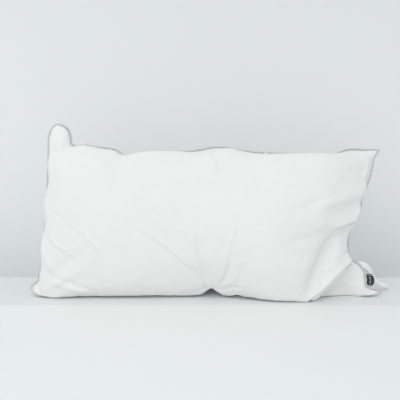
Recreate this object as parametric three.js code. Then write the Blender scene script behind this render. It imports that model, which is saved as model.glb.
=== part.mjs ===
// Bed pillow, 40 x 80 cm, standing on its long edge and leaning slightly back.
// Two fabric panels, a polyester filling, a corded piping in the perimeter seam,
// the seam threads and the two sewn-in labels.
// Units are millimetres. +X runs along the pillow, +Y is its back, +Z is up.
import * as THREE from 'three';
import { mergeVertices } from 'three/addons/utils/BufferGeometryUtils.js';
import { ParametricGeometry } from 'three/addons/geometries/ParametricGeometry.js';

// ---- driving dimensions -------------------------------------------------
const CUT_LENGTH = 800; // each panel, seam to seam, as cut flat
const CUT_HEIGHT = 400;
const FABRIC = 1.0; // panel thickness with its light backing wadding
const LAYER_GAP = 4; // between a panel and the filling
const CORD_RADIUS = 1.1; // cord inside the piping
const TAPE_INNER = 1.6; // piping tape, inside and outside of its wrap
const TAPE_OUTER = 2.1;
const FLANGE_DEPTH = 6; // tape legs caught in the seam
const FLANGE_INNER = 0.8; // half gap between the legs, where the thread runs
const FLANGE_OUTER = 1.2;
const THREAD_RADIUS = 0.15;
const THREAD_DEPTH = 3.6; // stitch line, inward from the piping's centre
const PANEL_INSET = 3.4; // panel edge, inward from the piping's centre
const PANEL_CLEAR = 3.4; // panel edge's outer face, from the middle surface
const FILLING_LIFT = 8; // filling's underside, above the resting surface
const FILLING_INSET = 16; // filling's rim, inward from the piping's centre
const COLUMNS = 30; // facets of a panel along the length and up the height
const ROWS = 14;
const SEAM_STEPS = 110; // facets of the piping and threads round the seam
const CLOSING_FROM = 10; // seam steps sewn shut last, after the filling went in
const CLOSING_TO = 20;
const BASE_DROP = 30; // how far the weight presses the lower edge down
const DEPTH_SHIFT = -5.5; // puts the origin under the middle of the pillow's depth

// Shape of the perimeter seam, one list for each side: [x, y, z].
const SEAM_REST = 3.6; // height of the piping's centre where it lies on the surface
const CORNER_BOTTOM_LEFT = [-414, -18, 24];
const CORNER_BOTTOM_RIGHT = [381, -19, 12];
const CORNER_TOP_RIGHT = [375, 31, 327];
const CORNER_TOP_LEFT = [-347, 30, 389];
const BOTTOM_SEAM = [
  CORNER_BOTTOM_LEFT,
  [-407, -24, 9],
  [-388, -28, SEAM_REST],
  [-350, -18, SEAM_REST],
  [-300, -4, SEAM_REST],
  [-190, 3, SEAM_REST],
  [-64, 5, SEAM_REST],
  [-30, 5, 7],
  [-2, 5, 12],
  [26, 4, 7],
  [64, 4, SEAM_REST],
  [200, 2, SEAM_REST],
  [300, -8, SEAM_REST],
  [350, -17, SEAM_REST],
  [371, -20, 4],
  CORNER_BOTTOM_RIGHT,
];
const TOP_SEAM = [
  CORNER_TOP_LEFT,
  [-334, 30, 382],
  [-324, 29, 367],
  [-316, 25, 350],
  [-292, 21, 343],
  [-219, 20, 333],
  [-190, 20, 321],
  [-133, 20, 327],
  [-46, 20, 330],
  [1, 22, 337],
  [57, 19, 333],
  [95, 16, 328],
  [232, 10, 326],
  [281, 13, 327],
  [306, 22, 332],
  [345, 28, 334],
  [364, 30, 335],
  CORNER_TOP_RIGHT,
];
const LEFT_SEAM = [
  CORNER_BOTTOM_LEFT,
  [-404, -11, 45],
  [-393, -8, 78],
  [-384, -2, 130],
  [-376, 5, 200],
  [-371, 11, 280],
  [-369, 18, 332],
  [-367, 24, 360],
  [-361, 28, 379],
  CORNER_TOP_LEFT,
];
const RIGHT_SEAM = [
  CORNER_BOTTOM_RIGHT,
  [374, -16, 22],
  [360, -13, 32],
  [351, -10, 50],
  [337, -5, 73],
  [317, -1, 94],
  [311, 3, 122],
  [317, 7, 155],
  [332, 11, 183],
  [339, 15, 212],
  [349, 21, 243],
  [359, 26, 272],
  [368, 29, 308],
  CORNER_TOP_RIGHT,
];

// Fullness of each panel along the length: [fraction of the length, depth].
const FRONT_FULLNESS = [[0, 0], [0.05, 30], [0.14, 62], [0.3, 78], [0.47, 74], [0.6, 81], [0.76, 91.5],
  [0.88, 72], [0.95, 34], [1, 0]];
const BACK_FULLNESS = [[0, 0], [0.05, 34], [0.14, 65], [0.3, 81.5], [0.5, 80], [0.7, 78], [0.86, 60],
  [0.95, 28], [1, 0]];
const SLUMP_FROM = 0.5; // right half: the front slumps forward over the floor
const SLUMP_TO = 0.72;
const SLUMP_POWER = 0.72;
const BACK_POWER = 0.85;
const ROUNDNESS = 0.45; // exponent of the cross section's oval

// ---- helpers ------------------------------------------------------------
const place = ([x, y, z]) => new THREE.Vector3(x, y + DEPTH_SHIFT, z);
const curve = (points) => new THREE.CatmullRomCurve3(points.map(place), false, 'centripetal');
const side = {
  bottom: curve(BOTTOM_SEAM),
  top: curve(TOP_SEAM),
  left: curve(LEFT_SEAM),
  right: curve(RIGHT_SEAM),
};
const FORWARD = new THREE.Vector3(0, -1, 0);

/** Smooth height read from a short list of [place, value] stations. */
function station(list, place) {
  const last = list.length - 1;
  const next = Math.min(last, Math.max(1, list.findIndex(([at]) => at >= place)));
  const [start, from] = list[next - 1];
  const [end, to] = list[next];
  const share = THREE.MathUtils.clamp((place - start) / (end - start), 0, 1);
  return THREE.MathUtils.lerp(from, to, 0.5 * share + 0.5 * THREE.MathUtils.smoothstep(share, 0, 1));
}

/** Middle surface between the four seam sides (a Coons patch). */
function middle(s, t) {
  const bottom = side.bottom.getPointAt(s);
  const top = side.top.getPointAt(s);
  const left = side.left.getPointAt(t);
  const right = side.right.getPointAt(t);
  const lengthwise = bottom.multiplyScalar(1 - t).addScaledVector(top, t);
  const upward = left.multiplyScalar(1 - s).addScaledVector(right, s);
  const corners = new THREE.Vector3()
    .addScaledVector(place(CORNER_BOTTOM_LEFT), (1 - s) * (1 - t))
    .addScaledVector(place(CORNER_BOTTOM_RIGHT), s * (1 - t))
    .addScaledVector(place(CORNER_TOP_LEFT), (1 - s) * t)
    .addScaledVector(place(CORNER_TOP_RIGHT), s * t);
  return lengthwise.add(upward).sub(corners);
}

/** Oval cross section: 0 at both seams and 1 at the fullest height. */
const oval = (t, power) => (4 * t ** power * (1 - t ** power)) ** ROUNDNESS;

/** Outer face of one panel; facing is -1 at the front and +1 at the back. */
function outerFace(facing, s, t) {
  const slump = THREE.MathUtils.smoothstep(s, SLUMP_FROM, SLUMP_TO);
  const power = facing < 0 ? THREE.MathUtils.lerp(1, SLUMP_POWER, slump) : BACK_POWER;
  const fullness = station(facing < 0 ? FRONT_FULLNESS : BACK_FULLNESS, s);
  const point = middle(s, t);
  const edge = PANEL_INSET / CUT_HEIGHT;
  const depth = fullness * oval(THREE.MathUtils.clamp((t - edge) / (1 - 2 * edge), 0, 1), power);
  const pressed = BASE_DROP * THREE.MathUtils.smoothstep(depth, 0, BASE_DROP) * (1 - t) ** 4;
  const lifted = side.bottom.getPointAt(s).z;
  const drop = pressed * THREE.MathUtils.clamp(1 - (lifted - 3) / BASE_DROP, 0, 1);
  point.y += facing * (PANEL_CLEAR + depth);
  point.z = Math.max(0, point.z - drop);
  return point;
}

/** The same face moved inward along its normal by a depth. */
function innerFace(facing, s, t, depth) {
  const step = 0.004;
  const along = outerFace(facing, Math.min(1, s + step), t).sub(outerFace(facing, Math.max(0, s - step), t));
  const up = outerFace(facing, s, Math.min(1, t + step)).sub(outerFace(facing, s, Math.max(0, t - step)));
  const normal = along.cross(up).normalize().multiplyScalar(-facing);
  const point = outerFace(facing, s, t).addScaledVector(normal, -depth);
  point.z = Math.max(point.z, depth);
  return point;
}

/** Fraction of a side at a grid line, with the lines packed closer at both ends. */
function gridLine(line, lines, inset, closeness) {
  const fraction = line / lines;
  const eased = (1 - Math.cos(Math.PI * fraction)) / 2;
  return inset + (1 - 2 * inset) * THREE.MathUtils.lerp(fraction, eased, closeness);
}

/**
 * Closed body between two faces over the panel's grid, with its outermost cells trimmed off.
 * Its rim is one step deep, or two where a ridge gives the line between the faces.
 */
function bodyBetween(trim, nearFace, farFace, ridge) {
  const columns = COLUMNS - 2 * trim.columns;
  const rows = ROWS - 2 * trim.rows;
  const box = new THREE.BoxGeometry(1, 1, 1, columns, rows, ridge ? 2 : 1);
  const corner = box.attributes.position;
  for (let i = 0; i < corner.count; i += 1) {
    const column = trim.columns + columns * (corner.getX(i) + 0.5);
    const row = trim.rows + rows * (corner.getY(i) + 0.5);
    const s = gridLine(column, COLUMNS, PANEL_INSET / CUT_LENGTH, 0.5);
    const t = gridLine(row, ROWS, PANEL_INSET / CUT_HEIGHT, 1);
    const layer = Math.sign(corner.getZ(i));
    const face = layer === 0 ? ridge : [farFace, nearFace][(layer + 1) / 2];
    const point = face(s, t);
    corner.setXYZ(i, point.x, point.y, point.z);
  }
  return welded(box);
}

/** Geometry with only positions, its shared corners merged. */
function welded(geometry) {
  geometry.deleteAttribute('normal');
  geometry.deleteAttribute('uv');
  const merged = mergeVertices(geometry, 0.001);
  const corners = Array.from(merged.index.array);
  const faces = Array.from({ length: corners.length / 3 }, (_, i) => corners.slice(3 * i, 3 * i + 3));
  merged.setIndex(faces.filter((face) => new Set(face).size === 3).flat());
  return merged;
}

// ---- the seam as one closed loop ----------------------------------------
const SEAM_LOOP = new THREE.CatmullRomCurve3(
  [
    ...BOTTOM_SEAM.slice(0, -1),
    ...RIGHT_SEAM.slice(0, -1),
    ...TOP_SEAM.slice(1).reverse(),
    ...LEFT_SEAM.slice(1).reverse(),
  ].map(place),
  true,
  'centripetal',
);

/** Point beside the seam: out is away from the pillow, front is towards its front. */
function besideSeam(fraction, out, front) {
  const tangent = SEAM_LOOP.getTangentAt(fraction);
  const normal = FORWARD.clone().addScaledVector(tangent, -FORWARD.dot(tangent)).normalize();
  const inward = normal.clone().cross(tangent);
  return SEAM_LOOP.getPointAt(fraction).addScaledVector(inward, -out).addScaledVector(normal, front);
}

/** Section carried along the seam from one step to another, or all the way round. */
function alongSeam(section, from = 0, to = SEAM_STEPS) {
  const closed = to - from === SEAM_STEPS;
  const stations = closed ? SEAM_STEPS : to - from + 2;
  const middleOf = (axis) => section.reduce((sum, point) => sum + point[axis], 0) / section.length;
  const centre = [middleOf(0), middleOf(1)];
  const surface = (along, around, target) => {
    const station = Math.round(along * stations);
    const capped = !closed && (station === 0 || station === stations);
    const step = closed ? station % stations : from + THREE.MathUtils.clamp(station - 1, 0, to - from);
    const [out, front] = capped ? centre : section[Math.round(around * section.length) % section.length];
    target.copy(besideSeam((step % SEAM_STEPS) / SEAM_STEPS, out, front));
  };
  return welded(new ParametricGeometry(surface, stations, section.length));
}

/** Points of an arc about the cord's centre, by angle in degrees. */
function arc(radius, from, to, count) {
  return Array.from({ length: count + 1 }, (_, i) => {
    const angle = THREE.MathUtils.degToRad(THREE.MathUtils.lerp(from, to, i / count));
    return [radius * Math.cos(angle), radius * Math.sin(angle)];
  });
}

// ---- sub-parts ----------------------------------------------------------
const fabricWhite = { color: 0xf0f2f1, roughness: 0.85, metalness: 0 };
const pipingGrey = { color: 0xb4b6b2, roughness: 0.8, metalness: 0 };
const threadGrey = { color: 0xc4c6c3, roughness: 0.7, metalness: 0 };
const WHOLE = { columns: 0, rows: 0 };

function frontPanel() {
  return bodyBetween(WHOLE, (s, t) => outerFace(-1, s, t), (s, t) => innerFace(-1, s, t, FABRIC));
}

function backPanel() {
  return bodyBetween(WHOLE, (s, t) => innerFace(1, s, t, FABRIC), (s, t) => outerFace(1, s, t));
}

function filling() {
  const inset = FILLING_INSET / CUT_HEIGHT;
  const ridge = (s, t) => middle(
    THREE.MathUtils.clamp(s, inset / 2, 1 - inset / 2),
    THREE.MathUtils.clamp(t, inset, 1 - inset),
  );
  const face = (facing) => (s, t) => {
    const point = innerFace(facing, s, t, FABRIC + LAYER_GAP);
    point.z = Math.max(point.z, FILLING_LIFT);
    return point;
  };
  return bodyBetween({ columns: 4, rows: 1 }, face(-1), face(1), ridge);
}

function pipingTape() {
  const outerEnd = 180 - THREE.MathUtils.radToDeg(Math.asin(FLANGE_OUTER / TAPE_OUTER));
  const innerEnd = 180 - THREE.MathUtils.radToDeg(Math.asin(FLANGE_INNER / TAPE_INNER));
  const section = [
    [-FLANGE_DEPTH, -FLANGE_OUTER],
    ...arc(TAPE_OUTER, -outerEnd, outerEnd, 6),
    [-FLANGE_DEPTH, FLANGE_OUTER],
    [-FLANGE_DEPTH, FLANGE_INNER],
    ...arc(TAPE_INNER, innerEnd, -innerEnd, 6),
    [-FLANGE_DEPTH, -FLANGE_INNER],
  ];
  return alongSeam(section);
}

function pipingCord() {
  return alongSeam(arc(CORD_RADIUS, 0, 300, 5));
}

/** Stitch line in the gap between the tape's legs, from one step of the seam to another. */
function stitchLine(from, to) {
  const section = arc(THREAD_RADIUS, 0, 288, 4).map(([out, front]) => [out - THREAD_DEPTH, front]);
  return alongSeam(section, from, to);
}

/** Cloth ribbon along a path, its width running in one direction. */
function ribbon(points, width, thickness, steps) {
  const path = curve(points);
  const across = new THREE.Vector3(...width);
  const box = new THREE.BoxGeometry(1, 1, 1, steps, 2, 1);
  const corner = box.attributes.position;
  for (let i = 0; i < corner.count; i += 1) {
    const along = corner.getX(i) + 0.5;
    const normal = path.getTangentAt(along).cross(across).normalize();
    const point = path.getPointAt(along)
      .addScaledVector(across, corner.getY(i))
      .addScaledVector(normal, corner.getZ(i) * thickness);
    corner.setXYZ(i, point.x, point.y, point.z);
  }
  return welded(box);
}

// Brand label: a woven ribbon folded double, its two ends caught in the right seam.
const BRAND_LABEL = [
  [364, -13, 42.5],
  [369, -17, 41.5],
  [374, -18.4, 40],
  [378, -15.6, 39],
  [374, -13.4, 40],
  [369.5, -12.4, 41.5],
  [365.5, -10, 42.5],
];
const BRAND_WIDTH = [8, -4, -25];

// Care label: two satin leaves that leave the seam above the brand label.
const CARE_UPPER = [
  [352, -3, 62],
  [360, -2, 72],
  [370, 2, 72],
  [378, 6, 58],
  [382, 8, 42],
];
const CARE_LOWER = [
  [354, 1, 57],
  [364, 4, 64],
  [374, 8, 54],
  [384, 12, 34],
  [396, 18, 16],
  [412, 26, 8],
];
const CARE_WIDTH = [10, 22, -8];

const PIECES = [
  ['front_panel', frontPanel, fabricWhite],
  ['back_panel', backPanel, fabricWhite],
  ['filling', filling, { color: 0xffffff, roughness: 0.95, metalness: 0 }],
  ['piping_tape', pipingTape, pipingGrey],
  ['piping_cord', pipingCord, { color: 0xe8e6e0, roughness: 0.9, metalness: 0 }],
  ['seam_thread', () => stitchLine(CLOSING_TO + 1, SEAM_STEPS + CLOSING_FROM - 1), threadGrey],
  ['closing_thread', () => stitchLine(CLOSING_FROM, CLOSING_TO), threadGrey],
  ['brand_label', () => ribbon(BRAND_LABEL, BRAND_WIDTH, 0.4, 14), { color: 0x15171a, roughness: 0.6, metalness: 0 }],
  ['care_label_upper', () => ribbon(CARE_UPPER, CARE_WIDTH, 0.3, 10), { color: 0xf4f6f6, roughness: 0.35, metalness: 0 }],
  ['care_label_lower', () => ribbon(CARE_LOWER, CARE_WIDTH, 0.3, 12), { color: 0xf4f6f6, roughness: 0.35, metalness: 0 }],
];

const pillow = new THREE.Group();
for (const [name, build, look] of PIECES) {
  const mesh = new THREE.Mesh(build(), new THREE.MeshStandardMaterial(look));
  mesh.name = name;
  pillow.add(mesh);
}

export default pillow;
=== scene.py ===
"""Bed pillow standing on its long edge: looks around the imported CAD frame. Metres, +Z up."""
import math

import bpy
import numpy as np
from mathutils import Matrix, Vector, noise


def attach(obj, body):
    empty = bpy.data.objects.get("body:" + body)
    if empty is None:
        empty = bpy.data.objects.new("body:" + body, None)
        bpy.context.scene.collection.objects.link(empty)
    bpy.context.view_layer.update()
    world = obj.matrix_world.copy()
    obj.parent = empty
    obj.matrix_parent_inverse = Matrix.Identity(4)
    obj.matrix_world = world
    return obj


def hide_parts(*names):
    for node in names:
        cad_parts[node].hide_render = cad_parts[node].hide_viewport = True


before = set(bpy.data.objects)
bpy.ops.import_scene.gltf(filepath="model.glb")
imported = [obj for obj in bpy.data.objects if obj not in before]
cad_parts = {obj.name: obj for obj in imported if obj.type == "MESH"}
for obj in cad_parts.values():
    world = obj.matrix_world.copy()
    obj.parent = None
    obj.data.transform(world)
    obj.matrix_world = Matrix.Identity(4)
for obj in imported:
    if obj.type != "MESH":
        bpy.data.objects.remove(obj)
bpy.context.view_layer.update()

MM = 0.001
CUT_LENGTH = 0.8  # each panel as cut flat, seam to seam
CUT_HEIGHT = 0.4
CUT_LENGTH_MM = 800
CUT_HEIGHT_MM = 400
CURVE_STEPS = 24  # points of a curve between two points of its list
DEPTH_SHIFT = -5.5  # the seam lists' depth is counted from here, in millimetres

# Shape of the perimeter seam in millimetres, one list for each side: [x, y, z].
SEAM_REST = 3.6  # height of the seam where the pillow rests on it
CORNER_BOTTOM_LEFT = [-414, -20, 24]
CORNER_BOTTOM_RIGHT = [384, -20, 8]
CORNER_TOP_RIGHT = [376, 31, 329]
CORNER_TOP_LEFT = [-347, 30, 389]
BOTTOM_SEAM = [
    CORNER_BOTTOM_LEFT, [-410, -25, 13], [-399, -26, 5], [-382, -24, SEAM_REST],
    [-350, -18, SEAM_REST], [-300, -4, SEAM_REST], [-190, 3, SEAM_REST], [-64, 5, SEAM_REST],
    [-30, 5, 7], [-2, 5, 12], [26, 4, 7], [64, 4, SEAM_REST], [200, 2, SEAM_REST],
    [300, -8, SEAM_REST], [355, -19, SEAM_REST], [378, -22, 4], CORNER_BOTTOM_RIGHT,
]
TOP_SEAM = [
    CORNER_TOP_LEFT, [-331, 30, 384], [-321, 29, 373], [-317, 27, 357], [-316, 24, 345],
    [-308, 22, 341], [-293, 22, 343], [-253, 20, 338], [-219, 20, 333], [-201, 20, 321],
    [-189, 20, 318], [-171, 20, 323], [-133, 20, 327], [-46, 20, 330], [-21, 21, 334],
    [0, 22, 338], [28, 20, 338], [57, 19, 333], [95, 16, 328], [232, 10, 325], [275, 12, 325],
    [289, 16, 329], [306, 24, 333], [345, 31, 331], [365, 31, 331], CORNER_TOP_RIGHT,
]
LEFT_SEAM = [
    CORNER_BOTTOM_LEFT, [-407, -14, 28], [-399, -11, 36], [-396, -10, 52], [-390, -7, 78],
    [-384, -2, 130], [-376, 5, 200], [-371, 11, 280], [-369, 18, 332], [-367, 25, 364],
    [-359, 29, 382], CORNER_TOP_LEFT,
]
RIGHT_SEAM = [
    CORNER_BOTTOM_RIGHT, [376, -18, 15], [362, -17, 18], [353, -15, 25], [351, -12, 38],
    [349, -9, 54], [343, -7, 64], [335, -5, 73], [325, -4, 79], [315, -3, 87], [311, -1, 99],
    [310, 3, 118], [312, 5, 138], [317, 7, 156], [326, 9, 172], [334, 11, 184], [338, 13, 197],
    [339, 16, 215], [345, 20, 235], [355, 24, 257], [362, 27, 284], [367, 29, 313], CORNER_TOP_RIGHT,
]

# Cross section of the filled pillow, in millimetres, at fractions of its length: how far each panel stands
# out, how far its lower part sags, and the power that spreads the bulge up its height.
FRONT_FULLNESS = [[0, 0], [0.04, 30], [0.13, 55], [0.3, 67], [0.47, 65], [0.6, 71], [0.76, 83],
                  [0.88, 66], [0.96, 34], [1, 0]]
BACK_FULLNESS = [[0, 0], [0.05, 34], [0.14, 66], [0.3, 84], [0.5, 82], [0.7, 78], [0.86, 60],
                 [0.95, 28], [1, 0]]
FRONT_PRESSED = [[0, 10], [0.1, 15], [0.2, 25], [0.44, 27], [0.52, 22], [0.62, 21], [0.755, 46],
                 [0.83, 30], [1, 8]]
BACK_PRESSED = [[0, 30], [1, 30]]
FRONT_POWER = [[0, 0.85], [0.5, 0.85], [0.72, 0.72], [1, 0.72]]
BACK_POWER = [[0, 0.85], [1, 0.85]]
ROUNDNESS = 0.45
# How far the filled front stands out past its seam: up the left and right sides, and along the top.
LEFT_PUFF = [[0, 1], [0.08, 2], [0.2, 5], [0.4, 4], [0.55, 7], [0.7, 3], [0.8, 5], [0.88, 0], [1, 0]]
RIGHT_PUFF = [[0, 0], [0.24, 0], [0.3, 3], [0.44, 3], [0.5, 1], [0.58, 3.5], [0.64, 1], [0.72, 3],
              [0.9, 1], [1, 0]]
TOP_PUFF = [[0, 0], [0.07, 0], [0.1, 5], [0.2, 4], [0.27, 9], [0.4, 8], [0.47, 2], [0.52, 3],
            [0.56, 8], [0.62, 4], [0.68, 5], [0.75, 8], [0.87, 7], [0.92, 1], [1, 0]]

# Corded piping in the seam, in millimetres.
PIPING_RADIUS = 1.9
WRAP_RADIUS = 1.5  # inside of the tape's wrap
CORD_RADIUS = 1.1
LEG_DEPTH = 6  # tape legs caught in the seam
LEG_GAP = 0.8
LEG_OUTER = 1.2
THREAD_RADIUS = 0.15
THREAD_DEPTH = 3.6
STITCH = 3.0
THREAD_SWING = 0.35  # to the front and back of the seam in each stitch
PANEL_IN = 2.2  # panel edge, inward from the cord and to the front or back of it
PANEL_OUT = 2.0

# The same in metres.
FABRIC = 0.0008  # thickness of the panels
CORD_TWIST = 0.009  # along the cord from one of its three strands to the next
CORD_STEP = 0.0015  # between two cross sections of the cord
TAPE_STEP = 0.0018
TAPE_WAVES = (0.0061, 0.0083, 0.0107, 0.017, 0.031, 0.0049)
TAPE_UNEVEN = 0.012  # share of the tape's outer radius that each of these waves adds

STITCH_STEPS = 6  # points of the thread in each stitch
RIBBON_POINTS = 11  # across a label
MAIN_SEAM = (21 / 110, 1 + 9 / 110)  # start and end of the two threads, as fractions of the seam
CLOSING_SEAM = (10 / 110, 20 / 110)

COLUMNS = 150  # cloth cells along the length and up the height of each panel
ROWS = 75
FILLING_HOLD = 0.012  # how firmly the filling holds the cloth in its place
FOLD_HOLD = 0.1  # and the folded right end
SETTLE_FRAMES = 20
MOST_MOVED = 0.02  # metres a point of the cloth may settle
EASE = 1.02  # simulated cut over the nominal one, for 2% of spare cloth each way
BEND = 0.05  # stiffness of the cloth against bending
PRESSURE = 3.0  # inside the closed form
START_UNEVEN = 0.0003  # metres of random offset, so that the cloth has a direction to buckle in
FOLDED_END = (0.17, 0.24)  # metres to the right, between which the fold hold sets in
CLOTH_SETTINGS = {
    "pin_stiffness": 1.0,
    "quality": 6,
    "mass": 0.15,
    "tension_stiffness": 30,
    "compression_stiffness": 30,
    "shear_stiffness": 12,
    "bending_stiffness": BEND,
    "tension_damping": 12,
    "compression_damping": 12,
    "use_pressure": True,
    "uniform_pressure_force": PRESSURE,
}

# Unevenness added to the settled cloth, in millimetres.
PUCKER = 0.55  # gathers at the seam
PUCKER_WAVES = (11.3, 14.9, 19.7, 27.1)
PUCKER_STRENGTH_WAVES = (83, 131)
PUCKER_REACH_WAVES = (47, 71)
SIDE_SWELL = 5.0  # roll of the front over the piping at the two ends
SWELL_WAVE = 15
BROAD_UNEVEN = (1.1, 0.075)  # height, and size across in metres
FINE_UNEVEN = (0.35, 0.022)

# The filling, drawn in from the seam by a number of cloth cells, most at the right end.
FILLING_ROWS = slice(4, -4)
FILLING_COLUMNS = slice(4, -13)
FILLING_INSET = 7  # millimetres behind the cloth
HOLLOW_SHARE = 1.2  # and this much of the depth of a hollow more
FILLING_REST = 0.008  # lowest over the ledge, in metres like the next three
OVER_LOWER_SEAM = 0.004
UNDER_UPPER_SEAM = 0.012
RAISED_END = 0.03  # lifts the filling out of the flat right corner


# ---- curves and steps -------------------------------------------------------
def in_metres(points):
    """Points of a seam or label list, in metres in the row frame."""
    return (np.array(points, float) + [0, DEPTH_SHIFT, 0]) * MM


def catmull_rom(points, closed=False):
    """Centripetal Catmull-Rom curve through the points, as a dense polyline."""
    p = in_metres(points)
    if closed:
        p = np.vstack([p[-1], p, p[0], p[1]])
    else:
        p = np.vstack([2 * p[0] - p[1], p, 2 * p[-1] - p[-2]])
    pieces = []
    for a, b, c, d in zip(p, p[1:], p[2:], p[3:]):
        spans = [max(np.linalg.norm(q - r), 1e-9) ** 0.5 for q, r in ((b, a), (c, b), (d, c))]
        t0, t1, t2, t3 = np.cumsum([0, *spans])
        u = np.linspace(t1, t2, CURVE_STEPS, endpoint=False)[:, None]
        a1 = ((t1 - u) * a + (u - t0) * b) / (t1 - t0)
        a2 = ((t2 - u) * b + (u - t1) * c) / (t2 - t1)
        a3 = ((t3 - u) * c + (u - t2) * d) / (t3 - t2)
        b1 = ((t2 - u) * a1 + (u - t0) * a2) / (t2 - t0)
        b2 = ((t3 - u) * a2 + (u - t1) * a3) / (t3 - t1)
        pieces.append(((t2 - u) * b1 + (u - t1) * b2) / (t2 - t1))
    line = np.vstack(pieces)
    return np.vstack([line, line[0] if closed else p[-2]])


def run_of(line):
    """Length of a polyline up to each of its points."""
    return np.concatenate([[0], np.cumsum(np.linalg.norm(np.diff(line, axis=0), axis=1))])


def at_fraction(line, fractions):
    """Points of a polyline at fractions of its length."""
    run = run_of(line)
    at = np.asarray(fractions) * run[-1]
    return np.stack([np.interp(at, run, line[:, k]) for k in range(line.shape[1])], -1)


def smooth(x, low, high):
    """Smooth step from 0 at low to 1 at high."""
    share = np.clip((x - low) / (high - low), 0, 1)
    return share * share * (3 - 2 * share)


def station(stations, place):
    """Value of a smooth cubic through a short list of [place, value] stations."""
    at, value = np.array(stations, float).T
    slope = np.gradient(value, at)
    k = np.clip(np.searchsorted(at, place, side="left"), 1, len(at) - 1)
    span = at[k] - at[k - 1]
    u = np.clip((place - at[k - 1]) / span, 0, 1)
    start = value[k - 1] * (1 + 2 * u) + slope[k - 1] * span * u
    end = value[k] * (3 - 2 * u) - slope[k] * span * (1 - u)
    return start * (1 - u) ** 2 + end * u**2


def unit(vectors):
    return vectors / np.maximum(np.linalg.norm(vectors, axis=-1, keepdims=True), 1e-12)


# ---- the seam as one closed loop --------------------------------------------
SIDE_POINTS = [BOTTOM_SEAM[:-1], RIGHT_SEAM[:-1], TOP_SEAM[:0:-1], LEFT_SEAM[:0:-1]]
SEAM_LINE = catmull_rom(sum(SIDE_POINTS, []), closed=True)
SIDE_ENDS = CURVE_STEPS * np.cumsum([0, *map(len, SIDE_POINTS)])
SEAM_LENGTH = run_of(SEAM_LINE)[-1]
FORWARD = np.array([0, -1, 0])


def seam_frame(fractions):
    """Place on the seam, and its directions out of the pillow and to the front, at fractions of it."""
    step = 0.0008
    fractions = np.asarray(fractions) % 1
    place = at_fraction(SEAM_LINE, fractions)
    ahead = at_fraction(SEAM_LINE, (fractions + step) % 1)
    behind = at_fraction(SEAM_LINE, (fractions - step) % 1)
    along = unit(ahead - behind)
    front = unit(FORWARD - along * (along @ FORWARD)[:, None])
    return place, np.cross(along, front), front


def panel_sides(facing):
    """Edge of a panel beside the piping, as its four sides: bottom, right, top and left."""
    fractions = run_of(SEAM_LINE) / SEAM_LENGTH
    place, out, front = seam_frame(fractions)
    edge = place - out * PANEL_IN * MM - front * facing * PANEL_OUT * MM
    bottom, right, top, left = (edge[a:b + 1] for a, b in zip(SIDE_ENDS, SIDE_ENDS[1:]))
    return bottom, right, top[::-1], left[::-1]


# ---- shape of the panels ----------------------------------------------------
def middle(sides, s, t):
    """Surface between the four sides, as rows of points."""
    bottom, right, top, left = sides
    s_row, t_row = s[None, :, None], t[:, None, None]
    lengthwise = at_fraction(bottom, s)[None] * (1 - t_row) + at_fraction(top, s)[None] * t_row
    upward = at_fraction(left, t)[:, None] * (1 - s_row) + at_fraction(right, t)[:, None] * s_row
    corners = (bottom[0] * (1 - s_row) * (1 - t_row) + bottom[-1] * s_row * (1 - t_row)
               + top[0] * (1 - s_row) * t_row + top[-1] * s_row * t_row)
    return lengthwise + upward - corners


def along_path(x, z, path):
    """Distance to a path (left of it positive), and the share of its length there."""
    path = np.array(path, float)
    run = run_of(path)
    best = np.full(x.shape, 1e9)
    side, share = np.zeros(x.shape), np.zeros(x.shape)
    for a, b, start in zip(path, path[1:], run):
        (dx, dz), length = b - a, np.linalg.norm(b - a)
        u = ((x - a[0]) * dx + (z - a[1]) * dz) / length**2
        held = np.clip(u, 0, 1)
        gap = np.hypot(x - a[0] - held * dx, z - a[1] - held * dz)
        cross = (dx * (z - a[1]) - dz * (x - a[0])) / length
        nearer = gap < best
        best = np.where(nearer, gap, best)
        side = np.where(nearer, np.where(cross < 0, -1, 1), side)
        share = np.where(nearer, (start + u * length) / run[-1], share)
    return best * side, share


def fold(x, z, path, width, height, lean=0.0, ends=0.25):
    """Height of a soft fold along a path: lean makes its right side steep and its left side wide."""
    gap, share = along_path(x, z, path)
    spread = width * np.where(gap > 0, 1 + lean, 1 - lean)
    taper = smooth(share, -0.05, ends) * smooth(1 - share, -0.05, ends)
    return height * np.exp(-((gap / spread) ** 2)) * taper


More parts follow.
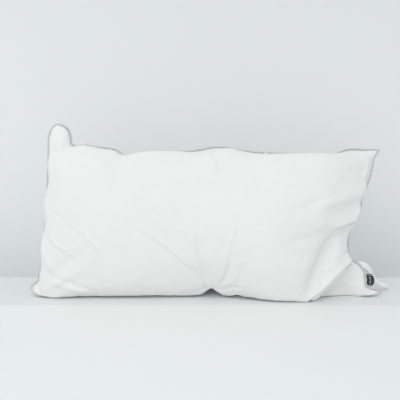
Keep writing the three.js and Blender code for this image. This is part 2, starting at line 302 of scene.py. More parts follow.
# Folds of the front panel: path of [x, z], width, height towards the front, lean. Millimetres.
FRONT_FOLDS = [
    ([[-366, 206], [-330, 184], [-250, 119]], 3.5, -3, 0.3),
    ([[-282, 152], [-244, 117]], 5, 3, 0),
    ([[-370, 148], [-348, 130], [-298, 100]], 4.5, 3.5, 0),
    ([[-374, 62], [-344, 48], [-270, 22]], 4, -3, 0.3),
    ([[-366, 40], [-333, 32], [-275, 16]], 6, 2.5, 0),
    ([[-372, 92], [-360, 62]], 5, 3.5, 0),
    ([[-403, 31], [-393, 14], [-388, 2]], 4, -5, 0),
    ([[-176, 180], [-116, 143], [-72, 107], [-23, 54]], 5, 2.4, 0.3),
    ([[-150, 156], [-84, 108], [-32, 54]], 6, -1.8, 0),
    ([[-184, 233], [-119, 198], [-70, 140]], 10, -2.5, 0),
    ([[-76, 182], [-45, 155], [-19, 70]], 7, 2.5, 0),
    ([[-34, 64], [-22, 48], [-15, 30]], 3, 3.5, 0),
    ([[26, 22], [40, 32], [66, 30]], 3, -2.5, 0),
    ([[-32, 165], [-30, 110], [-14, 40]], 6, -3, 0),
    ([[-50, 90], [-12, 36]], 4, -4, 0.3),
    ([[4, 30], [20, 62], [30, 113], [50, 186]], 4.5, 3, -0.3),
    ([[14, 30], [30, 60], [40, 104]], 5, -3, 0),
    ([[65, 100], [66, 83], [52, 24]], 6, -3, 0),
    ([[-17, 333], [1, 314], [10, 280]], 5, 3, 0),
    ([[280, 160], [270, 138], [263, 122], [251, 101], [237, 74], [224, 42], [216, 12]], 15, -13, -0.25),
    ([[222, 222], [257, 226], [294, 230], [325, 240], [354, 262]], 15, 7, 0),
    ([[313, 112], [304, 103], [294, 97]], 3, -3, 0),
    ([[250, 66], [260, 71], [270, 76]], 2.5, -5, 0),
    ([[310, 30], [336, 22], [356, 12]], 4, 2.5, 0),
    ([[330, 10], [356, 6], [378, 10]], 3, 2.5, 0),
    ([[300, 297], [320, 290], [346, 279]], 6, -3, 0),
    ([[345, 325], [352, 300], [340, 262]], 7, 2.5, 0),
    ([[-362, 334], [-336, 329]], 4, -3, 0),
]
BACK_FOLDS = [
    ([[-330, 200], [-240, 130], [-190, 60]], 6, 4, 0.2),
    ([[-345, 120], [-280, 90]], 5, -3, 0),
    ([[-120, 40], [-90, 120], [-100, 210]], 8, -4, 0.2),
    ([[-40, 30], [-20, 110], [20, 200]], 7, 4, 0),
    ([[90, 40], [120, 130], [110, 220]], 9, -4, 0),
    ([[280, 60], [220, 120], [190, 210]], 7, 4, 0.2),
    ([[300, 280], [240, 240], [150, 220]], 8, 3, 0),
    ([[-320, 330], [-230, 280], [-160, 250]], 8, 3, 0),
]
UPPER_FOLD = [[352, 226], [334, 206], [324, 192], [315, 179], [296, 175], [275, 170], [266, 154]]
VALLEY = [[277, 164], [268, 137], [260, 120], [248, 98], [232, 67], [212, 14]]
FLAP_EDGE = [[194, -10], [208, 2], [231, 19], [251, 39], [272, 60], [300, 76], [320, 90]]
VALLEY_WIDTH = 14
VALLEY_HEIGHT = -11
UPPER_FOLD_HEIGHT, UPPER_FOLD_REACH = 9.5, 12
FLAP_EDGE_HEIGHT, FLAP_EDGE_REACH = 8, 13
OVERLAP_EDGE = 2.5  # how soon the raised cloth drops away at its edge
GROOVE = (0.35, 6, 3.5)  # share of the overlap's height, distance beyond its edge, width
RISE_BEYOND = (0.3, 14, 5)
FLAP_DEPTH = 5  # of the flat lower right corner, far from its fold
FLAP_START = 15  # what the bulge has beyond this depth thins out over the reach
FLAP_REACH = 26
FLAP_RIPPLE = 2.5
NOTCHES = [(-1, 23, 19), (56, 16, 5)]  # arches in the lower edge of the front: x, half width, height


def swell(gap, height, place, width):
    """Rounded rise of that height and width, at a place beyond an edge."""
    return height * np.exp(-(((gap - place) / width) ** 2))


def overlap(x, z, path, height, reach):
    """Cloth lying over itself: raised on the right of the path, with a sharp edge and a groove beyond."""
    gap, share = along_path(x, z, path)
    raised = np.where(gap < 0, np.exp(gap / reach), np.exp(-((gap / OVERLAP_EDGE) ** 2)))
    groove = swell(gap, *GROOVE) - swell(gap, *RISE_BEYOND)
    taper = smooth(share, -0.05, 0.15) * smooth(1 - share, -0.05, 0.3)
    return height * (raised - groove) * taper


def front_shape(x, z, depth):
    """Depth of the front panel with its valley and its flat lower right corner, in millimetres."""
    depth = depth + smooth(depth, 4, 30) * fold(x, z, VALLEY, VALLEY_WIDTH, VALLEY_HEIGHT)
    gap, _ = along_path(x, z, FLAP_EDGE)
    beyond = np.maximum(-gap, 0)
    flap = FLAP_DEPTH + np.maximum(depth - FLAP_START, 0) * np.exp(-beyond / FLAP_REACH)
    flap += FLAP_RIPPLE * np.sin(x / 11 + z / 8) * smooth(beyond, 20, 45)
    inside = smooth(-gap, -3, 4)
    return depth * (1 - inside) + np.minimum(depth, flap) * inside


def notch_height(x):
    """How far the lower edge of the front is lifted off the surface, in millimetres."""
    arches = [height * np.clip(1 - np.abs(x - place) / half, 0, 1) for place, half, height in NOTCHES]
    return np.maximum(*arches)


def relief(facing, x, z):
    """Height of one panel's folds."""
    height = np.zeros(x.shape)
    for path, width, rise, lean in FRONT_FOLDS if facing < 0 else BACK_FOLDS:
        height += fold(x, z, path, width, rise, lean)
    if facing < 0:
        height += overlap(x, z, UPPER_FOLD, UPPER_FOLD_HEIGHT, UPPER_FOLD_REACH)
        height += overlap(x, z, FLAP_EDGE[::-1], FLAP_EDGE_HEIGHT, FLAP_EDGE_REACH)
    return height


def waves(rng, place, lengths):
    """Uneven ripple: a sum of waves of those lengths, with its own phases."""
    return sum(np.sin(2 * np.pi * place / length + rng.uniform(0, 2 * np.pi)) for length in lengths)


def puckers(rng, across, up):
    """Gathers where the cloth is eased into the seam; across and up are places on the cut, in mm."""
    height = np.zeros(across.shape)
    edges = ((up, across), (CUT_HEIGHT_MM - up, across), (across, up), (CUT_LENGTH_MM - across, up))
    for inward, along in edges:
        ripple = waves(rng, along, PUCKER_WAVES) * (0.6 + 0.4 * waves(rng, along, PUCKER_STRENGTH_WAVES))
        reach = 11 + 4 * waves(rng, along, PUCKER_REACH_WAVES)
        height += PUCKER * ripple * np.exp(-inward / np.maximum(reach, 4)) * smooth(inward, 0, 5)
    return height


def side_swell(across, up):
    """How far the filled front rolls out over the piping at its two ends, in an uneven line."""
    inward = np.minimum(across, CUT_LENGTH_MM - across)
    band = smooth(inward, 2, 8) * (1 - smooth(inward, 13, 36))
    middle_part = smooth(np.minimum(up, CUT_HEIGHT_MM - up), 50, 110)
    return SIDE_SWELL * band * middle_part * (0.6 + 0.4 * np.sin(up / SWELL_WAVE))


def panel_face(facing, s, t):
    """Outer face of the panel over a grid of fractions; facing is -1 at the front, +1 at the back."""
    is_front = facing < 0
    sides = panel_sides(facing)
    point = middle(sides, s, t) / MM
    fullness = station(FRONT_FULLNESS if is_front else BACK_FULLNESS, s)
    power = station(FRONT_POWER if is_front else BACK_POWER, s)
    pressed = station(FRONT_PRESSED if is_front else BACK_PRESSED, s)
    rise = t[:, None] ** power
    depth = fullness * (4 * rise * (1 - rise)) ** ROUNDNESS
    x, z = point[..., 0], point[..., 2].copy()
    lifted = np.clip((at_fraction(sides[0], s)[:, 2] / MM - 3) / 30, 0, 1)
    drop = pressed * smooth(depth, 0, 30) * (1 - t[:, None]) ** 4 * (1 - lifted)
    floor = np.zeros_like(z)
    if is_front:
        floor = notch_height(x)
        depth = front_shape(x, z, depth)
        puff = smooth(depth, 0, 12) * (1 - smooth(depth, 16, 50))
        point[..., 0] -= puff * station(LEFT_PUFF, t)[:, None] * (1 - smooth(s, 0.03, 0.12))
        point[..., 0] += puff * station(RIGHT_PUFF, t)[:, None] * smooth(s, 0.88, 0.97)
        z += puff * station(TOP_PUFF, s) * smooth(t[:, None], 0.8, 0.95)
    point[..., 1] += facing * depth
    point[..., 2] = np.maximum(floor * smooth(depth, 0, 12), z - drop)
    return point * MM


def even_grid(facing):
    """The panel's face as a grid of cloth cells, evenly spaced along its surface both ways."""
    fine_s = (1 - np.cos(np.linspace(0, np.pi, 4 * COLUMNS + 1))) / 4 + np.linspace(0, 0.5, 4 * COLUMNS + 1)
    fine_t = (1 - np.cos(np.linspace(0, np.pi, 6 * ROWS + 1))) / 2
    face = panel_face(facing, fine_s, fine_t)
    upward = np.linspace(0, 1, ROWS + 1)
    face = np.stack([at_fraction(face[:, i], upward) for i in range(face.shape[1])], 1)
    lengthwise = np.linspace(0, 1, COLUMNS + 1)
    return np.stack([at_fraction(row, lengthwise) for row in face])


# ---- meshes -----------------------------------------------------------------
def add_object(name, data):
    made = bpy.data.objects.new(name, data)
    bpy.context.scene.collection.objects.link(made)
    return made


def new_object(name, points, faces, material):
    mesh = bpy.data.meshes.new(name)
    mesh.from_pydata([tuple(p) for p in points], [], [tuple(map(int, f)) for f in faces])
    mesh.validate()
    mesh.polygons.foreach_set("use_smooth", [True] * len(mesh.polygons))
    if material:
        mesh.materials.append(material)
    mesh.update()
    return add_object(name, mesh)


def point_values(mesh, name):
    """Three values of each point of a mesh, such as its place or its normal."""
    values = np.zeros(3 * len(mesh.vertices))
    mesh.vertices.foreach_get(name, values)
    return values.reshape(-1, 3)


def corner_points(mesh):
    """Index of the point at each corner of the mesh's faces."""
    index = np.zeros(len(mesh.loops), int)
    mesh.loops.foreach_get("vertex_index", index)
    return index


def lay_flat(made, along, across):
    """Gives each point its place on the flat cloth, in metres, as the UV layer named cut."""
    layer = made.data.uv_layers.new(name="cut")
    flat = np.stack([along, across], -1)[corner_points(made.data)]
    layer.data.foreach_set("uv", flat.ravel())


def grid_faces(rows, columns, start=0, flip=False):
    """Quads of a grid with that many points up and along, numbered row by row."""
    corner = start + np.arange(rows * columns).reshape(rows, columns)
    quads = np.stack([corner[:-1, :-1], corner[:-1, 1:], corner[1:, 1:], corner[1:, :-1]], -1)
    quads = quads.reshape(-1, 4)
    return quads[:, ::-1] if flip else quads


def rim_of(rows, columns, start=0):
    """Indices round the edge of such a grid, anticlockwise seen from the front."""
    corner = start + np.arange(rows * columns).reshape(rows, columns)
    return np.concatenate([corner[0, :-1], corner[:-1, -1], corner[-1, :0:-1], corner[:0:-1, 0]])


def closed_form(front, back):
    """Points and faces of the closed form between a front and a back grid of the same size."""
    rows, columns = front.shape[:2]
    points = np.vstack([front.reshape(-1, 3), back.reshape(-1, 3)])
    near, far = rim_of(rows, columns), rim_of(rows, columns, rows * columns)
    rim = np.stack([near, far, np.roll(far, -1), np.roll(near, -1)], -1)
    faces = np.vstack([
        grid_faces(rows, columns),
        grid_faces(rows, columns, rows * columns, flip=True),
        rim,
    ])
    return points, faces


def apply_modifiers(made):
    graph = bpy.context.evaluated_depsgraph_get()
    mesh = bpy.data.meshes.new_from_object(made.evaluated_get(graph))
    made.modifiers.clear()
    made.data = mesh


def settled(front, back):
    """Both panels after a cloth simulation: sewn together, filled, and wrinkled by their spare cloth."""
    rows, columns = front.shape[:2]
    points, faces = closed_form(front, back)
    cloth = new_object("cloth", points, faces, None)
    across, up = np.meshgrid(np.linspace(-0.5, 0.5, columns) * CUT_LENGTH * EASE,
                             np.linspace(0, 1, rows) * CUT_HEIGHT * EASE)
    cut = np.stack([across, np.zeros_like(across), up], -1).reshape(-1, 3)
    cut = np.vstack([cut, cut + [0, 2 * PANEL_OUT * MM, 0]])
    cloth.shape_key_add(name="sewn")
    cloth.shape_key_add(name="cut").data.foreach_set("co", cut.ravel())
    rng = np.random.default_rng(5)
    start = points + rng.normal(0, START_UNEVEN, points.shape)
    start[:, 2] = np.maximum(start[:, 2], 0)
    cloth.data.shape_keys.key_blocks["sewn"].data.foreach_set("co", start.ravel())
    cloth.data.vertices.foreach_set("co", start.ravel())
    hold = cloth.vertex_groups.new(name="hold")
    rim = np.concatenate([rim_of(rows, columns), rim_of(rows, columns, rows * columns)])
    firm = smooth(points[:, 0], *FOLDED_END) * (points[:, 1] < 0) * FOLD_HOLD + FILLING_HOLD
    for index, weight in enumerate(firm):
        hold.add([index], float(weight), "REPLACE")
    hold.add([int(i) for i in rim], 1.0, "REPLACE")
    sewn = cloth.modifiers.new("sewn", "CLOTH")
    sewn.settings.rest_shape_key = cloth.data.shape_keys.key_blocks["cut"]
    sewn.settings.vertex_group_mass = "hold"
    for setting, value in CLOTH_SETTINGS.items():
        setattr(sewn.settings, setting, value)
    sewn.settings.effector_weights.gravity = 0
    sewn.collision_settings.use_collision = False
    sewn.point_cache.frame_end = SETTLE_FRAMES
    scene = bpy.context.scene
    for frame_number in range(1, SETTLE_FRAMES + 1):
        scene.frame_set(frame_number)
    graph = bpy.context.evaluated_depsgraph_get()
    result = cloth.evaluated_get(graph).to_mesh()
    moved = point_values(result, "co") - points
    scene.frame_set(1)
    bpy.data.objects.remove(cloth)
    distance = np.linalg.norm(moved, axis=1, keepdims=True)
    moved *= np.minimum(1, MOST_MOVED / np.maximum(distance, 1e-9))
    points = points + moved
    points[:, 2] = np.maximum(points[:, 2], 0)
    return points.reshape(2, rows, columns, 3)


# ---- materials --------------------------------------------------------------
def material(name, base, roughness, sheen=0.0):
    """New material: returns it with its node tree and its shader."""
    made = bpy.data.materials.new(name)
    made.use_nodes = True
    tree = made.node_tree
    shader = tree.nodes["Principled BSDF"]
    shader.inputs["Base Color"].default_value = (*base, 1)
    shader.inputs["Roughness"].default_value = roughness
    shader.inputs["Sheen Weight"].default_value = sheen
    return made, tree, shader


def node(tree, kind, **settings):
    made = tree.nodes.new("ShaderNode" + kind)
    for key, value in settings.items():
        if key in made.inputs:
            made.inputs[key].default_value = value
        else:
            setattr(made, key, value)
    return made


def mottled(tree, shader, light, dark, scale, coords):
    """Slight uneven tone of a fabric, between two colours."""
    noise = node(tree, "TexNoise", Scale=scale, Detail=4.0)
    mix = node(tree, "Mix", data_type="RGBA")
    mix.inputs["A"].default_value = (*light, 1)
    mix.inputs["B"].default_value = (*dark, 1)
    tree.links.new(coords, noise.inputs["Vector"])
    tree.links.new(noise.outputs["Fac"], mix.inputs["Factor"])
    tree.links.new(mix.outputs["Result"], shader.inputs["Base Color"])


def weave(tree, shader, coords, pitch, strength, turn=0.0):
    """Plain weave as bump and roughness: warp and weft threads at a pitch in metres."""
    mapping = node(tree, "Mapping")
    mapping.inputs["Rotation"].default_value = (0, 0, math.radians(turn))
    tree.links.new(coords, mapping.inputs["Vector"])
    heights = []
    for axis in ("X", "Y"):
        wave = node(tree, "TexWave", wave_type="BANDS", bands_direction=axis, Scale=0.314 / pitch,
                    Distortion=0.6, Detail=1.0)
        tree.links.new(mapping.outputs["Vector"], wave.inputs["Vector"])
        heights.append(wave.outputs["Fac"])
    product = node(tree, "Math", operation="MULTIPLY")
    tree.links.new(heights[0], product.inputs[0])
    tree.links.new(heights[1], product.inputs[1])
    bump = node(tree, "Bump", Strength=strength, Distance=0.0002)
    tree.links.new(product.outputs[0], bump.inputs["Height"])
    tree.links.new(bump.outputs["Normal"], shader.inputs["Normal"])
    spread = node(tree, "MapRange")
    spread.inputs["To Min"].default_value = shader.inputs["Roughness"].default_value + 0.06
    spread.inputs["To Max"].default_value = shader.inputs["Roughness"].default_value - 0.06
    tree.links.new(product.outputs[0], spread.inputs["Value"])
    tree.links.new(spread.outputs["Result"], shader.inputs["Roughness"])


def cotton_shell():
    made, tree, shader = material("cotton_shell", (0.9, 0.905, 0.9), 0.82, sheen=0.15)
    cut = node(tree, "UVMap", uv_map="cut")
    mottled(tree, shader, (0.838, 0.846, 0.832), (0.8, 0.808, 0.795), 14.0, cut.outputs["UV"])
    weave(tree, shader, cut.outputs["UV"], 0.0007, 0.25)
    return made


def bias_tape():
    made, tree, shader = material("bias_tape", (0.45, 0.45, 0.43), 0.8, sheen=0.2)
    cut = node(tree, "UVMap", uv_map="cut")
    mottled(tree, shader, (0.66, 0.668, 0.66), (0.56, 0.568, 0.56), 220.0, cut.outputs["UV"])
    weave(tree, shader, cut.outputs["UV"], 0.0006, 0.5, turn=45)
    return made


def cotton_cord():
    made, tree, shader = material("cotton_cord", (0.8, 0.78, 0.72), 0.9, sheen=0.2)
    coords = node(tree, "TexCoord")
    mottled(tree, shader, (0.83, 0.81, 0.75), (0.7, 0.68, 0.62), 600.0, coords.outputs["Object"])
    return made


def sewing_thread():
    made, tree, shader = material("sewing_thread", (0.62, 0.62, 0.6), 0.55, sheen=0.1)
    coords = node(tree, "TexCoord")
    mottled(tree, shader, (0.66, 0.66, 0.64), (0.5, 0.5, 0.48), 1500.0, coords.outputs["Object"])
    return made


def fibre_filling():
    made, tree, shader = material("fibre_filling", (0.9, 0.9, 0.9), 0.95, sheen=0.4)
    coords = node(tree, "TexCoord")
    mottled(tree, shader, (0.93, 0.93, 0.93), (0.8, 0.8, 0.8), 90.0, coords.outputs["Object"])
    fibres = node(tree, "TexNoise", Scale=700.0, Detail=6.0, Roughness=0.8)
    bump = node(tree, "Bump", Strength=0.6, Distance=0.001)
    tree.links.new(coords.outputs["Object"], fibres.inputs["Vector"])
    tree.links.new(fibres.outputs["Fac"], bump.inputs["Height"])
    tree.links.new(bump.outputs["Normal"], shader.inputs["Normal"])
    return made


def in_band(tree, value, low, high):
    """1 where the value lies between low and high, as an output."""
    above = node(tree, "Math", operation="GREATER_THAN")
    below = node(tree, "Math", operation="LESS_THAN")
    both = node(tree, "Math", operation="MULTIPLY")
    tree.links.new(value, above.inputs[0])
    tree.links.new(value, below.inputs[0])
    above.inputs[1].default_value = low
    below.inputs[1].default_value = high
    tree.links.new(above.outputs[0], both.inputs[0])
    tree.links.new(below.outputs[0], both.inputs[1])
    return both.outputs[0]


def combined(tree, operation, first, second):
    made = node(tree, "Math", operation=operation)
    tree.links.new(first, made.inputs[0])
    tree.links.new(second, made.inputs[1])
    return made.outputs[0]


def woven_label():
    """Black woven ribbon with a pale line along each border and two plain pale dashes."""
    made, tree, shader = material("woven_label", (0.02, 0.021, 0.024), 0.6, sheen=0.3)
    cut = node(tree, "UVMap", uv_map="cut")
    parts = node(tree, "SeparateXYZ")
    tree.links.new(cut.outputs["UV"], parts.inputs["Vector"])
    along, across = parts.outputs["X"], parts.outputs["Y"]
    dashes = combined(tree, "ADD", in_band(tree, across, 0.006, 0.0115), in_band(tree, across, 0.0145, 0.02))
    bar = combined(tree, "MULTIPLY", dashes, in_band(tree, along, 0.008, 0.0095))
    edge = combined(tree, "ADD", in_band(tree, across, 0.0015, 0.0021), in_band(tree, across, 0.0244, 0.025))
    marks = combined(tree, "MAXIMUM", bar, edge)
    mix = node(tree, "Mix", data_type="RGBA")
    mix.inputs["A"].default_value = (0.02, 0.021, 0.024, 1)
    mix.inputs["B"].default_value = (0.75, 0.76, 0.76, 1)
    tree.links.new(marks, mix.inputs["Factor"])
    tree.links.new(mix.outputs["Result"], shader.inputs["Base Color"])
    weave(tree, shader, cut.outputs["UV"], 0.0004, 0.4)
    return made


def satin_label():
    made, tree, shader = material("satin_label", (0.88, 0.89, 0.9), 0.38, sheen=0.1)
    cut = node(tree, "UVMap", uv_map="cut")
    mottled(tree, shader, (0.9, 0.905, 0.915), (0.84, 0.85, 0.86), 90.0, cut.outputs["UV"])
    weave(tree, shader, cut.outputs["UV"], 0.0003, 0.2)
    return made


# ---- pieces -----------------------------------------------------------------
def belongs(made, node_name):
    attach(made, "root")
    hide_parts(node_name)
    return made


def finished_panel(name, grid, facing, fabric):
    """One panel as a thin sheet of cloth, its outer face on the grid."""
    rows, columns = grid.shape[:2]
    panel = new_object(name, grid.reshape(-1, 3), grid_faces(rows, columns, flip=facing > 0), fabric)
    index = np.arange(rows * columns)
    lay_flat(panel, index % columns / (columns - 1) * CUT_LENGTH,
             index // columns / (rows - 1) * CUT_HEIGHT)
    refine = panel.modifiers.new("refine", "SUBSURF")
    refine.levels = refine.render_levels = 1
    refine.boundary_smooth = "PRESERVE_CORNERS"
    apply_modifiers(panel)
    wrinkle(panel, facing)
    return panel


def wrinkle(panel, facing):
    """Moves the cloth along its normals: folds, gathers at the seam and soft unevenness."""
    mesh = panel.data
    place = point_values(mesh, "co")
    normal = point_values(mesh, "normal")
    flat = np.zeros(2 * len(mesh.loops))
    mesh.uv_layers["cut"].data.foreach_get("uv", flat)
    cut = np.zeros((len(mesh.vertices), 2))
    cut[corner_points(mesh)] = flat.reshape(-1, 2) / MM
    across, up = cut[:, 0], cut[:, 1]
    rng = np.random.default_rng(21 if facing < 0 else 22)
    inward = np.minimum(np.minimum(across, CUT_LENGTH_MM - across), np.minimum(up, CUT_HEIGHT_MM - up))
    height = relief(facing, place[:, 0] / MM, place[:, 2] / MM) * smooth(inward, 2, 16)
    height += puckers(rng, across, up)
    if facing < 0:
        height += side_swell(across, up)
    broad, broad_size = BROAD_UNEVEN
    fine, fine_size = FINE_UNEVEN
    height += broad * uneven(place, broad_size, 3 + facing) * smooth(inward, 0, 30)
    height += fine * uneven(place, fine_size, 7 + facing) * smooth(inward, 0, 20)
    place = place + normal * height[:, None] * MM
    lift = notch_height(place[:, 0] / MM) * smooth(inward, 2, 12) if facing < 0 else 0
    place[:, 2] = np.maximum(place[:, 2], lift * MM)
    mesh.vertices.foreach_set("co", place.ravel())
    mesh.update()


def uneven(place, size, seed):
    """Smooth noise of about that size, from -1 to 1, at each point."""
    shift = Vector((17.3 * seed, 5.1 * seed, 9.7 * seed))
    return np.array([noise.noise(Vector(p) / size + shift) for p in place])


def thicken(panel, thickness):
    shell = panel.modifiers.new("thickness", "SOLIDIFY")
    shell.thickness = thickness
    shell.offset = -1
    apply_modifiers(panel)


def swept(name, section, fractions, fabric):
    """Section carried round the seam: section(fraction) gives rows of [out, front] in millimetres."""
    fractions = np.asarray(fractions)
    closed = fractions[-1] - fractions[0] > 0.999
    if closed:
        fractions = fractions[:-1]
    place, out, front = seam_frame(fractions)
    shape = np.stack([section(f) for f in fractions]) * MM
    points = place[:, None] + out[:, None] * shape[..., :1] + front[:, None] * shape[..., 1:]
    count, around = shape.shape[:2]
    index = np.arange(count * around).reshape(count, around)
    after = np.roll(index, -1, 0) if closed else index[1:]
    here = index if closed else index[:-1]
    faces = np.stack([here, after, np.roll(after, -1, 1), np.roll(here, -1, 1)], -1).reshape(-1, 4)
    faces = [tuple(f) for f in faces]
    if not closed:
        faces += [tuple(index[0]), tuple(index[-1][::-1])]
    made = new_object(name, points.reshape(-1, 3), faces, fabric)
    index = np.arange(count * around)
    lay_flat(made, fractions[index // around] * SEAM_LENGTH, run_of(shape[0])[index % around])
    return made


def arc(radius, start, end, count):
    angle = np.radians(np.linspace(start, end, count))
    return np.stack([radius * np.cos(angle), radius * np.sin(angle)], -1)


def piping_tape(fabric):
    """Bias tape wrapped round the cord, its two legs going into the seam."""
    outer_end = 180 - math.degrees(math.asin(LEG_OUTER / PIPING_RADIUS))
    inner_end = 180 - math.degrees(math.asin(LEG_GAP / WRAP_RADIUS))
    profile = np.vstack([
        [[-LEG_DEPTH, -LEG_OUTER]],
        arc(PIPING_RADIUS, -outer_end, outer_end, 15),
        [[-LEG_DEPTH, LEG_OUTER], [-LEG_DEPTH, LEG_GAP]],
        arc(WRAP_RADIUS, inner_end, -inner_end, 11),
        [[-LEG_DEPTH, -LEG_GAP]],
    ])
    rng = np.random.default_rng(11)
    phase = rng.uniform(0, 2 * np.pi, len(TAPE_WAVES))

    def section(fraction):
        place = fraction * SEAM_LENGTH
        pull = sum(np.sin(2 * np.pi * place / wave + p) for wave, p in zip(TAPE_WAVES, phase))
        grown = profile.copy()
        grown[1:16] *= 1 + TAPE_UNEVEN * pull
        return grown

    steps = np.linspace(0, 1, int(SEAM_LENGTH / TAPE_STEP))
    return swept("bias_piping", section, steps, fabric)


def piping_cord(fabric):
    """Cord of three strands twisted together."""
    angle = np.linspace(0, 2 * np.pi, 12, endpoint=False)

    def section(fraction):
        twist = 2 * np.pi * round(SEAM_LENGTH / CORD_TWIST) * fraction
        radius = CORD_RADIUS * (0.86 + 0.14 * np.cos(3 * angle - twist))
        return np.stack([radius * np.cos(angle), radius * np.sin(angle)], -1)

    return swept("twisted_cord", section, np.linspace(0, 1, int(SEAM_LENGTH / CORD_STEP)), fabric)


def stitches(name, start, end, fabric):
    """Lockstitch thread inside the seam, between two fractions of it."""
    ring = arc(THREAD_RADIUS, 0, 288, 5)

    def section(fraction):
        weave_through = THREAD_SWING * math.sin(2 * math.pi * fraction * SEAM_LENGTH / MM / STITCH)
        return ring + [-THREAD_DEPTH, weave_through]

    count = int((end - start) * SEAM_LENGTH / MM / STITCH * STITCH_STEPS)
    return swept(name, section, np.linspace(start, end, count), fabric)


def ribbon(name, path, widths, thickness, steps, fabric, bow=0.0, curl=0.0):
    """Cloth ribbon along a path. Its width runs from the first direction to the second, in millimetres,
    bowed along the path and curled off it."""
    line = catmull_rom(path)
    length = run_of(line)[-1]
    along = np.linspace(0, 1, steps + 1)[:, None]
    across = (np.array(widths[0]) * (1 - along) + np.array(widths[1]) * along) * MM
    spread = np.linspace(-0.5, 0.5, RIBBON_POINTS)
    place = at_fraction(line, along[:, 0])
    tangent = unit(np.gradient(place, axis=0))
    normal = unit(np.cross(tangent, across))
    lift = curl * MM * (2 * spread) ** 2 * smooth(along, 0.2, 1)
    outward = unit((line[len(line) // 2] - line[0])[None])[0]
    pushed = bow * MM * (1 - (2 * spread) ** 2)
    cloth = place[:, None] + across[:, None] * spread[:, None] + normal[:, None] * lift[..., None]
    cloth = cloth + outward * pushed[None, :, None]
    made = new_object(name, cloth.reshape(-1, 3), grid_faces(steps + 1, RIBBON_POINTS), fabric)
    index = np.arange((steps + 1) * RIBBON_POINTS)
    lay_flat(made, index // RIBBON_POINTS / steps * length,
             index % RIBBON_POINTS / (RIBBON_POINTS - 1) * np.linalg.norm(across[0]))
    refine = made.modifiers.new("refine", "SUBSURF")
    refine.levels = refine.render_levels = 1
    shell = made.modifiers.new("thickness", "SOLIDIFY")
    shell.thickness = thickness * MM
    shell.offset = 0
    apply_modifiers(made)
    return made


def filling(front, back, fibre):
    """The mass of fibre, inside both panels and drawn in from the seam."""
    surfaces = []
    rim = 1 - smooth(np.arange(ROWS + 1.0), 4, 9)
    for grid, facing in ((front, -1), (back, 1)):
        along = np.gradient(grid, axis=1)
        up = np.gradient(grid, axis=0)
        outward = unit(np.cross(along, up)) * -facing
        hollow = np.maximum(-relief(facing, grid[..., 0] / MM, grid[..., 2] / MM), 0)
        inner = grid - outward * (FILLING_INSET + HOLLOW_SHARE * hollow[..., None]) * MM
        lower, _, upper, _ = panel_sides(facing)
        fractions = np.linspace(0, 1, COLUMNS + 1)
        lower_seam = at_fraction(lower, fractions)[:, 2]
        lowest = FILLING_REST + rim[:, None] * (lower_seam + OVER_LOWER_SEAM)
        lowest = lowest + RAISED_END * smooth(fractions, 0.83, 0.9)
        highest = at_fraction(upper, fractions)[:, 2] - UNDER_UPPER_SEAM
        inner[..., 2] = np.clip(inner[..., 2], lowest, highest)
        surfaces.append(inner[FILLING_ROWS, FILLING_COLUMNS])
    middle_y = (surfaces[0][..., 1] + surfaces[1][..., 1]) / 2
    surfaces[0][..., 1] = np.minimum(surfaces[0][..., 1], middle_y - 0.001)
    surfaces[1][..., 1] = np.maximum(surfaces[1][..., 1], middle_y + 0.001)
    points, faces = closed_form(*surfaces)
    return new_object("fibre_mass", points, faces, fibre)


# ---- the two labels ---------------------------------------------------------
BRAND_LABEL = [[350, -9, 36], [356, -14, 36.5], [362.5, -18.5, 37.5], [365.5, -17.5, 37.5],
               [362.5, -15.5, 37.5], [356, -11, 36.5], [351, -7, 36]]
BRAND_WIDTHS = [[2, -1, -27], [2, -1, -27]]
CARE_WIDTHS = [[7, 12, 8], [7, 12, 8]]
TAIL_WIDTHS = [[7, 12, 8], [2, 15, 3]]
CARE_UPPER = [[333, -4, 71], [342, 1, 70], [352, 3, 65], [361, 6, 56], [368, 8, 45]]
CARE_LOWER = [[336, -3, 68], [350, 5, 62], [364, 9, 50], [374, 12, 34], [386, 17, 20],
              [400, 21, 12], [413, 25, 7]]


# ---- stage, light and camera ------------------------------------------------
LEDGE_EDGE = 0.111  # back edge of the ledge the pillow stands on
LEDGE_FOOT = -0.3
WALL_Y = 0.42
WALL_TOP = 3
HALF_WIDTH = 4  # of the floor and the wall
PAINT_ROUGHNESS = 0.7
# Each lamp's place, what it is aimed at, its size and its power.
LAMPS = {
    "key": ((-1.25, -2.7, 3.1), (0, 0, 0.15), 3.6, 47),
    "fill": ((-0.6, -3.2, 0.4), (0, 0, 0.05), 2.0, 9),
}
SKY_STRENGTH = 0.77
CAMERA_PLACE = (-0.028, -1.8675, 0.651)
CAMERA_DOWN = 13  # degrees
SENSOR = 36
FOCAL_PIXELS = 848  # for a picture this many pixels wide
PICTURE_PIXELS = 400


def graded(tree, shader, axis, start, end, first, second):
    """Paint that turns from the first colour into the second between two places along an axis: here painted
    light and shade on the floor and the wall.
    """
    coords = node(tree, "TexCoord")
    parts = node(tree, "SeparateXYZ")
    place = node(tree, "MapRange")
    place.inputs["From Min"].default_value = start
    place.inputs["From Max"].default_value = end
    mix = node(tree, "Mix", data_type="RGBA")
    mix.inputs["A"].default_value = (*first, 1)
    mix.inputs["B"].default_value = (*second, 1)
    tree.links.new(coords.outputs["Object"], parts.inputs["Vector"])
    tree.links.new(parts.outputs[axis], place.inputs["Value"])
    tree.links.new(place.outputs["Result"], mix.inputs["Factor"])
    tree.links.new(mix.outputs["Result"], shader.inputs["Base Color"])


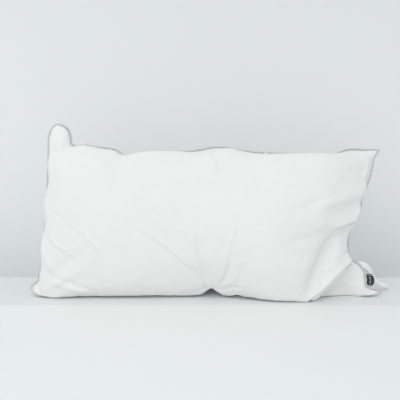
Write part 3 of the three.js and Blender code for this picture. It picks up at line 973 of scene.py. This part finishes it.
def floor_and_wall():
    """Ledge the pillow stands on, and a wall behind it that is clear when seen from its back."""
    paint, tree, shader = material("floor_paint_and_painted_light", (0.78, 0.8, 0.81), PAINT_ROUGHNESS)
    # Painted light and shade: the floor is painted lighter in front of about y = -0.09 m and darker behind
    # it, standing in for the shade near the pillow and the wall.
    graded(tree, shader, "Y", -0.092, -0.08, (0.855, 0.882, 0.87), (0.785, 0.81, 0.815))
    profile = [(-HALF_WIDTH, 0), (LEDGE_EDGE, 0), (LEDGE_EDGE, LEDGE_FOOT), (WALL_Y, LEDGE_FOOT)]
    sides = (-HALF_WIDTH, HALF_WIDTH)
    corners = [(x, *point) for pair in zip(profile, profile[1:]) for point in pair for x in sides]
    strips = [(i, i + 1, i + 3, i + 2) for i in range(0, len(corners), 4)]
    floor = new_object("floor", corners, strips, paint)
    wall_paint_and_painted_light, tree, shader = material("wall_paint_and_painted_light", (0.9, 0.9, 0.9), PAINT_ROUGHNESS)
    # Painted light: the wall's paint is lighter low down and darker high up, making up for the shade the
    # ledge casts on its lower part.
    graded(tree, shader, "Z", 0.1, 0.95, (0.915, 0.935, 0.95), (0.7, 0.722, 0.742))
    seen = node(tree, "NewGeometry")
    clear = node(tree, "BsdfTransparent")
    choose = node(tree, "MixShader")
    output = tree.nodes["Material Output"]
    tree.links.new(seen.outputs["Backfacing"], choose.inputs[0])
    tree.links.new(shader.outputs[0], choose.inputs[1])
    tree.links.new(clear.outputs[0], choose.inputs[2])
    tree.links.new(choose.outputs[0], output.inputs["Surface"])
    corners = [(-HALF_WIDTH, WALL_Y, LEDGE_FOOT), (HALF_WIDTH, WALL_Y, LEDGE_FOOT),
               (HALF_WIDTH, WALL_Y, WALL_TOP), (-HALF_WIDTH, WALL_Y, WALL_TOP)]
    wall = new_object("wall", corners, [(0, 1, 2, 3)], wall_paint_and_painted_light)


def lamp(name, place, aim, size, power):
    data = bpy.data.lights.new(name, "AREA")
    data.size = size
    data.energy = power
    made = add_object(name, data)
    made.location = place
    toward = np.array(aim, float) - np.array(place, float)
    made.rotation_euler = Vector(toward).to_track_quat("-Z", "Y").to_euler()


def lighting():
    world = bpy.data.worlds.new("studio")
    world.use_nodes = True
    sky = world.node_tree.nodes["Background"]
    sky.inputs["Color"].default_value = (0.98, 0.99, 1.0, 1)
    sky.inputs["Strength"].default_value = SKY_STRENGTH
    bpy.context.scene.world = world
    for name, values in LAMPS.items():
        lamp(name, *values)
    bpy.context.scene.view_settings.view_transform = "Standard"


def camera():
    data = bpy.data.cameras.new("camera")
    data.sensor_width = SENSOR
    data.lens = SENSOR * FOCAL_PIXELS / PICTURE_PIXELS
    rig = add_object("camera", data)
    rig.location = CAMERA_PLACE
    rig.rotation_euler = (math.radians(90 - CAMERA_DOWN), 0, 0)
    bpy.context.scene.camera = rig


camera()
lighting()
floor_and_wall()

front_grid = even_grid(-1)
back_grid = even_grid(1)
front_grid, back_grid = settled(front_grid, back_grid)

shell_cloth = cotton_shell()
front_cloth = finished_panel("front_cloth", front_grid, -1, shell_cloth)
front_panel = belongs(front_cloth, "front_panel")
back_cloth = finished_panel("back_cloth", back_grid, 1, shell_cloth)
back_panel = belongs(back_cloth, "back_panel")
thicken(front_panel, FABRIC)
thicken(back_panel, FABRIC)
fill = belongs(filling(front_grid, back_grid, fibre_filling()), "filling")
belongs(piping_tape(bias_tape()), "piping_tape")
belongs(piping_cord(cotton_cord()), "piping_cord")
thread = sewing_thread()
belongs(stitches("seam_stitches", *MAIN_SEAM, thread), "seam_thread")
belongs(stitches("closing_stitches", *CLOSING_SEAM, thread), "closing_thread")
brand = belongs(ribbon("woven_ribbon", BRAND_LABEL, BRAND_WIDTHS, 0.4, 40, woven_label(), bow=5),
                "brand_label")
satin = satin_label()
upper = belongs(ribbon("satin_leaf_upper", CARE_UPPER, CARE_WIDTHS, 0.3, 24, satin, curl=1.5),
                "care_label_upper")
lower = belongs(ribbon("satin_leaf_lower", CARE_LOWER, TAIL_WIDTHS, 0.3, 30, satin, curl=2),
                "care_label_lower")
